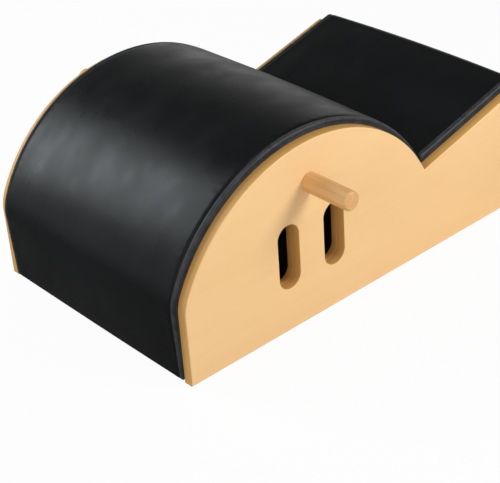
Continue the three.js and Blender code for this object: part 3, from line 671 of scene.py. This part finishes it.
# The displacements of a settled skin, for the columns of the top of a grid: held says which rows stay put.
def settled(points, held):
    fineRows, fineColumns = points.shape[:2]
    rows = np.round(np.linspace(0, fineRows - 1, fineRows // settling["rowStep"])).astype(int)
    columns = np.round(np.linspace(0, fineColumns - 1, fineColumns // settling["columnStep"])).astype(int)
    net = points[rows][:, columns]
    mesh = bpy.data.meshes.new("net")
    faces = [face[::-1] for face in gridFaces(len(rows), len(columns))]  # they look out, as the pressure does
    mesh.from_pydata(net.reshape(-1, 3).tolist(), [], faces)
    sheet = bpy.data.objects.new("net", mesh)
    bpy.context.scene.collection.objects.link(sheet)
    pinned = np.zeros(net.shape[:2], bool)
    pinned[held[rows]] = True
    pinned[:, [0, -1]] = True
    pinned[[0, -1]] = True
    group = sheet.vertex_groups.new(name="held")
    group.add(np.flatnonzero(pinned).tolist(), 1.0, "REPLACE")
    cloth = sheet.modifiers.new("settle", "CLOTH")
    cloth.point_cache.frame_end = settling["frames"]
    cloth.settings.quality = settling["quality"]
    cloth.settings.vertex_group_mass = "held"
    cloth.settings.tension_stiffness = settling["stiffness"]
    cloth.settings.compression_stiffness = settling["stiffness"]
    cloth.settings.bending_stiffness = settling["bending"]
    cloth.settings.shrink_min = settling["shrink"]
    cloth.settings.use_pressure = True
    cloth.settings.uniform_pressure_force = settling["pressure"]
    cloth.settings.effector_weights.gravity = 0
    for step in range(1, settling["frames"] + 1):
        bpy.context.scene.frame_set(step)
    shape = sheet.evaluated_get(bpy.context.evaluated_depsgraph_get()).data
    moved = np.empty(len(shape.vertices) * 3)
    shape.vertices.foreach_get("co", moved)
    bpy.data.objects.remove(sheet)
    bpy.data.meshes.remove(mesh)
    bpy.context.scene.frame_set(1)
    move = moved.reshape(net.shape) - net
    length = np.linalg.norm(move, axis=-1, keepdims=True)
    move *= settling["most"] * np.tanh(length / settling["most"]) / np.maximum(length, 1e-9)
    print("settled", net.shape[:2], "most", round(float(length.max() / mm), 2), "mm")
    rowWeights = splineWeights(fineRows, len(rows))
    columnWeights = splineWeights(fineColumns, len(columns))
    return np.einsum("ra,abk,cb->rck", rowWeights, move, columnWeights)


# A skin's outer grid with its folds: the top settles as cloth, by a share that is one less the eighth power
# of the place across, and then the seams gather it.
def finishedSkin(outer, along, held):
    top = np.flatnonzero(np.abs(outer[len(outer) // 2, :, 1]) <= welt["shoulder"] + 1e-6)
    move = settled(outer[:, top], held)
    share = 1 - (outer[:, top, 1:2] / welt["shoulder"]) ** 8
    outer[:, top] += move * np.clip(share, 0, 1)
    return outer + gridNormals(outer) * puckered(along[:, None], outer[..., 1])[..., None]


# A closed skin between an outer and an inner grid with the same rows: both surfaces, the strips between
# their side edges, and their ends, which are filled where a foot is.
def skinMesh(name, outer, inner, filled):
    rows, columns = outer.shape[:2]
    innerColumns = inner.shape[1]
    first = rows * columns
    faces = gridFaces(rows, columns) + gridFaces(rows, innerColumns, first)
    for a, b in ((0, 0), (columns - 1, innerColumns - 1)):
        row = np.arange(rows - 1)
        strip = [row * columns + a, (row + 1) * columns + a,
                 first + (row + 1) * innerColumns + b, first + row * innerColumns + b]
        faces += np.stack(strip, -1).tolist()
    for row, isFilled in zip((0, rows - 1), filled):
        outside = list(range(row * columns, (row + 1) * columns))
        inside = list(range(first + row * innerColumns, first + (row + 1) * innerColumns))
        if isFilled:
            faces += [outside, inside, [outside[0], outside[-1], inside[-1], inside[0]]]
        else:
            faces.append(outside + inside[::-1])
    return meshOf(name, np.concatenate([outer.reshape(-1, 3), inner.reshape(-1, 3)]), faces)


# A closed foam block: its surface grid, closed underneath and at its ends.
def foamMesh(name, grid):
    rows, columns = grid.shape[:2]
    faces = gridFaces(rows, columns, closed=True)
    faces += [list(range(columns)), list(range((rows - 1) * columns, rows * columns))]
    return meshOf(name, grid, faces)


def makeBarrelPad():
    distance = spaced((0, pad["footRound"], steps["foot"]), (pad["footRound"], barrelLength, steps["barrel"]))
    outer = placed(*barrelSkin(distance, weltedColumns(), 0, pad["barrelUnder"]))
    base = barrelLine(distance)[0]
    held = (distance < 3 * pad["footRound"]) | (base[:, 0] > valley[0] - settling["valleyHeld"])
    outer = finishedSkin(outer, distance, held)
    shrunk = pad["skin"] + distance * (barrelLength - pad["skin"]) / barrelLength
    inner = placed(*barrelSkin(shrunk, plainColumns(pad["skin"]), pad["skin"], pad["barrelUnder"]))
    cover = finishPiece("barrelCover", skinMesh("barrelCover", outer, inner, (True, False)),
                        "cover_vinyl", ["barrel_cover"], math.radians(70))
    gap = pad["foamGap"]
    rows = spaced((gap, barrelLength, steps["foamBarrel"]))
    foam = placed(*barrelSkin(rows, plainColumns(gap), gap, pad["seat"]))
    block = finishPiece("barrelFoam", foamMesh("barrelFoam", foam), "pad_foam", ["barrel_foam"],
                        math.radians(50))


def makeRampPad():
    toFoot = endLength + backLength
    nearFoot = toFoot - pad["footRound"]
    back = spaced((0, endLength, steps["end"]), (endLength, nearFoot, steps["back"]),
                  (nearFoot, toFoot, steps["foot"]))[1:]
    under, skin, gap = pad["rampUnder"], pad["skin"], pad["foamGap"]
    runShares = spaced((0, 1, steps["ramp"]))
    rows = sunkProfile(0, under, steps["rolled"])
    outer = placed(*rampSkin(rows, runShares, back, weltedColumns(), 0, under))
    step = np.linalg.norm(np.diff(outer[:, outer.shape[1] // 2], axis=0), axis=-1)
    along = np.concatenate([[0], np.cumsum(step)])
    row = np.arange(len(outer))
    turnRow = len(outer) - len(back) + steps["end"] // 2  # where the skin turns over the ramp's end
    startRows, turnRows, footRows = settling["rampHeld"]
    held = (row < startRows) | (np.abs(row - turnRow) < turnRows) | (row > len(outer) - footRows)
    outer = finishedSkin(outer, along, held)
    rows = sunkProfile(skin, under, steps["rolled"])
    inner = placed(*rampSkin(rows, runShares, back * (1 - skin / back[-1]), plainColumns(skin), skin, under))
    cover = finishPiece("rampCover", skinMesh("rampCover", outer, inner, (False, True)),
                        "cover_vinyl", ["ramp_cover"], math.radians(70))
    rows, shorter = sunkProfile(gap, pad["seat"], steps["foamRolled"]), back[::4] * (1 - gap / back[-1])
    runShares = spaced((0, 1, steps["foamRamp"]))
    foam = placed(*rampSkin(rows, runShares, shorter, plainColumns(gap), gap, pad["seat"]))
    block = finishPiece("rampFoam", foamMesh("rampFoam", foam), "pad_foam", ["ramp_foam"], math.radians(50))


makeBarrelPad()
makeRampPad()
print("pads made")


# Side panels and the grip boards behind their slots

panel = {
    "outerRound": 2.5 * mm, "innerRound": 1 * mm, "endRound": 8 * mm,
    "slotWidth": 44 * mm, "slotLength": 113 * mm, "slotEase": 1.2 * mm,
    "slotForward": 6 * mm, "slotSpacing": 97 * mm, "slotDrop": 113.5 * mm,
    "bore": 20.6 * mm, "dowelForward": 7 * mm, "dowelDrop": 69 * mm,
    "pinHole": 8.6 * mm, "pinHoleDepth": 12.3 * mm, "pinEdge": 15 * mm, "pinReach": 9 * mm,
    "gap": 0.3 * mm, "gripCorner": 12 * mm, "boardEase": 0.8 * mm,
}
dowelPlace = barrelCentre + [-panel["dowelForward"], barrelRadius - panel["dowelDrop"]]
slotMiddle = np.array([barrelCentre[0] - panel["slotForward"], dowelPlace[1] - panel["slotDrop"]])
slotPlaces = [slotMiddle + [side * panel["slotSpacing"] / 2, 0] for side in (-1, 1)]


# A panel's outline drawn in by an inset: the front's bend, the arch, the ramp, its rounded end and the heel
# and toe, with equally many points for every inset.
def panelOutline(inset):
    radius = barrelRadius - inset
    rear = valley + crossingAlong(radius, -inset) * rampAlong - inset * rampAcross
    toAngle = math.atan2(rear[1] - barrelCentre[1], rear[0] - barrelCentre[0])
    front = bendCentre + (bendRound - inset) * turnedTo(np.linspace(math.pi, bendTurn, 17)[:-1])
    arch = barrelCentre + radius * turnedTo(np.linspace(bendTurn, toAngle, 97))
    endRound = panel["endRound"]
    corner = endCentre(endRound) + (endRound - inset) * turnedTo(np.linspace(endTurn, 0, 13))
    heel = [[rampEnd[0] - inset, inset], [inset, inset]]
    return np.concatenate([front, arch, corner, heel])


# How far a rounded arris draws in, and how deep below the face it is there
def arris(radius, count):
    turn = np.linspace(0, math.pi / 2, count + 1)
    return np.stack([radius * (1 - np.sin(turn)), radius * (1 - np.cos(turn))], -1)


def stadium(centre, flare):
    turn = (np.arange(96) + 0.5) / 96 * 2 * math.pi
    half = (panel["slotLength"] - panel["slotWidth"]) / 2
    bow = centre + (panel["slotWidth"] / 2 + flare) * turnedTo(turn)
    bow[:, 1] += np.where(np.sin(turn) > 0, half, -half)
    return bow


def circle(centre, radius, count=48):
    return np.asarray(centre) + radius * turnedTo(np.arange(count) / count * 2 * math.pi)


# A rectangle drawn in by an inset, with round corners
def roundedBoard(low, high, radius, inset):
    sides = np.array([[1, 1], [-1, 1], [-1, -1], [1, -1]])
    middle, half = (low + high) / 2, (high - low) / 2 - radius
    turn = np.linspace(0, math.pi / 2, 9) + np.arange(4)[:, None] * math.pi / 2
    return ((middle + sides * half)[:, None] + (radius - inset) * turnedTo(turn)).reshape(-1, 2)


# The frame's rails, whose pins go into the panels
pinPlaces = []
for name in ("front_rail", "rear_rail"):
    low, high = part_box(name)
    middleX = (low.x + high.x) / 2 - frontX
    pinPlaces += [(middleX, z - bottomZ) for z in (low.z + panel["pinEdge"], high.z - panel["pinEdge"])]
low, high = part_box("valley_rail")
railMiddle = np.array([(low.x + high.x) / 2 - frontX, (low.z + high.z) / 2 - bottomZ])
pinPlaces += [tuple(railMiddle + side * panel["pinReach"] * rampAcross) for side in (-1, 1)]


# A board with holes: each wall is a stack of rings from the outer face to the inner one, and the two faces
# are filled between the walls' ends. A blind hole starts at its own floor.
def boardMesh(name, outer, through, blind):
    walls = [np.stack(rings) for rings in (outer, *through, *blind)]
    firsts = np.cumsum([0] + [wall.shape[0] * wall.shape[1] for wall in walls])
    points = np.concatenate([wall.reshape(-1, 3) for wall in walls])
    faces, heads, tails = [], [], []
    for wall, first in zip(walls, firsts):
        rows, columns = wall.shape[:2]
        faces += gridFaces(rows, columns, first, closed=True)
        heads.append(list(range(first, first + columns)))
        tails.append(list(range(first + (rows - 1) * columns, first + rows * columns)))
    faces += heads[1 + len(through):]
    capStart = len(faces)
    for loops in (heads[:1 + len(through)], tails):
        flat = [index for loop in loops for index in loop]
        corners = tessellate_polygon([[Vector(points[i]) for i in loop] for loop in loops])
        faces += [[flat[i] for i in triangle] for triangle in corners]
    return meshOf(name, points, faces, merge=False), slice(capStart, None)


# Rings of an outline at the insets and depths of an arris at each face, for a board on one side
def rings(outline, side, fromDepth, toDepth, outerEase, innerEase, count):
    fall = [(inset, fromDepth + depth) for inset, depth in arris(outerEase, count)]
    rise = [(inset, toDepth - depth) for inset, depth in arris(innerEase, count)[::-1]]
    return [placed(outline(inset), side * (panelOuter - depth)) for inset, depth in fall + rise]


def makePanel(hand, side):
    thick = panelOuter - panelInner
    outer = rings(panelOutline, side, 0, thick, panel["outerRound"], panel["innerRound"], 10)
    ease, tiny = panel["slotEase"], panel["gap"]
    through = [rings(lambda inset, at=place: stadium(at, inset), side, 0, thick, ease, tiny, 5)
               for place in slotPlaces]
    through.append(rings(lambda inset: circle(dowelPlace, panel["bore"] / 2), side, 0, thick, 0, 0, 1))
    floor, pinRadius = thick - panel["pinHoleDepth"], panel["pinHole"] / 2
    blind = [[placed(circle(place, pinRadius, 24), side * (panelOuter - depth)) for depth in (floor, thick)]
             for place in pinPlaces]
    mesh, flat = boardMesh("sidePanel_" + hand, outer, through, blind)
    finishPiece("sidePanel_" + hand, mesh, "panel_birch", ["side_panel_" + hand], math.radians(35), flat)


def makeGripBoard(hand, side):
    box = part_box("grip_board_" + hand)
    low, high = (np.array([corner.x - frontX, corner.z - bottomZ]) for corner in box)
    fromDepth = panelOuter - panelInner + panel["gap"]
    toDepth = fromDepth + box[1].y - box[0].y
    outer = rings(lambda inset: roundedBoard(low, high, panel["gripCorner"], inset), side, fromDepth, toDepth,
                  panel["gap"], panel["boardEase"], 4)
    through = [rings(lambda inset, at=place: stadium(at, inset), side, fromDepth, toDepth, panel["gap"],
                     panel["slotEase"], 5) for place in slotPlaces]
    mesh, flat = boardMesh("gripBoard_" + hand, outer, through, [])
    finishPiece("gripBoard_" + hand, mesh, "panel_birch", ["grip_board_" + hand], math.radians(35), flat)


for hand, side in hands.items():
    makePanel(hand, side)
    makeGripBoard(hand, side)
print("side panels and grip boards made")


# Turned pieces

# A profile of radii and places along an axis, carried round it. A radius of 0 closes the piece.
def turnedMesh(name, profile, start, direction, segments=48, shape=None):
    profile = np.asarray(profile, float)
    axis = Vector(direction).normalized()
    side = axis.orthogonal().normalized()
    other = axis.cross(side)
    turn = np.arange(segments) / segments * 2 * math.pi
    radius = np.repeat(profile[:, :1], segments, 1)
    if shape is not None:
        radius = shape(radius, turn)
    grid = (np.array(start) + profile[:, 1][:, None, None] * np.array(axis)
            + (radius * np.cos(turn))[..., None] * np.array(side)
            + (radius * np.sin(turn))[..., None] * np.array(other))
    return meshOf(name, grid, gridFaces(len(profile), segments, closed=True))


# A quarter round from one radius inwards at the end of a profile
def roundedEnd(radius, at, size):
    turn = np.linspace(0, math.pi / 2, 9)
    return np.stack([radius - size * (1 - np.cos(turn)), at - size * (1 - np.sin(turn))], -1).tolist()


dowel = {
    "radius": 16 * mm, "reach": 92 * mm, "endRound": 4 * mm, "spigot": 10 * mm, "spigotLength": 17.7 * mm,
    "bore": 4.3 * mm, "boreEnd": 50 * mm, "clearance": 0.3 * mm,
}
bolt = {
    "radius": 4 * mm, "length": 70 * mm, "headFlats": 13 * mm, "headHeight": 5.5 * mm,
    "washerRadius": 15 * mm, "washerThickness": 2 * mm,
}


# The distance from a hexagon's middle to its side in each direction, or the given radius if that is less
def hexagonal(flats):
    def shape(radius, turn):
        around = np.mod(turn + math.pi / 6, math.pi / 3) - math.pi / 6
        return np.minimum(radius, flats / 2 / np.cos(around))
    return shape


def makeHandDowel(hand, side):
    x, z = dowelPlace + [frontX, bottomZ]
    out = (0, side, 0)
    gap = dowel["clearance"]
    end = roundedEnd(dowel["radius"], dowel["reach"], dowel["endRound"])
    profile = [(0, dowel["boreEnd"]), (dowel["bore"], dowel["boreEnd"]),
               (dowel["bore"], -dowel["spigotLength"]), (dowel["spigot"], -dowel["spigotLength"]),
               (dowel["spigot"], gap), (dowel["radius"] - 0.6 * mm, gap), (dowel["radius"], gap + 0.6 * mm)]
    profile += end + [(0, dowel["reach"])]
    mesh = turnedMesh("handDowel", profile, (x, side * panelOuter, z), out, 72)
    finishPiece("handDowel_" + hand, mesh, "dowel_wood", ["hand_dowel_" + hand], math.radians(40))
    hole, rim, thick, ease = bolt["radius"] + gap, bolt["washerRadius"], bolt["washerThickness"], 0.3 * mm
    profile = [(hole, gap), (rim - ease, gap), (rim, gap + ease), (rim, gap + thick - ease),
               (rim - ease, gap + thick), (hole, gap + thick), (hole, gap)]
    mesh = turnedMesh("washer", profile, (x, side * panelInner, z), (0, -side, 0), 64)
    finishPiece("dowelWasher_" + hand, mesh, "steel", ["dowel_washer_" + hand], math.radians(30))
    seat = side * (panelInner - thick - 2 * gap)
    reach, head = bolt["headFlats"] / 2, bolt["headHeight"]
    corner = reach / math.cos(math.pi / 6)
    profile = [(0, -head), (reach * 0.97, -head), (corner, -head + 0.9 * mm), (corner, 0),
               (bolt["radius"], 0), (bolt["radius"], bolt["length"] - 0.8 * mm),
               (bolt["radius"] - 0.8 * mm, bolt["length"]), (0, bolt["length"])]
    mesh = turnedMesh("bolt", profile, (x, seat, z), out, 48, hexagonal(bolt["headFlats"]))
    finishPiece("dowelBolt_" + hand, mesh, "steel", ["dowel_bolt_" + hand], math.radians(25))


for hand, side in hands.items():
    makeHandDowel(hand, side)
print("hand dowels made")

# CAD pieces that keep their shape
for name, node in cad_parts.items():
    if node.hide_render:
        continue
    kind = "steel" if "screw" in name else "foot_rubber" if name.startswith("foot_") else "frame_wood"
    node.material_slots[0].material = finishes[kind]
print("frame dressed")
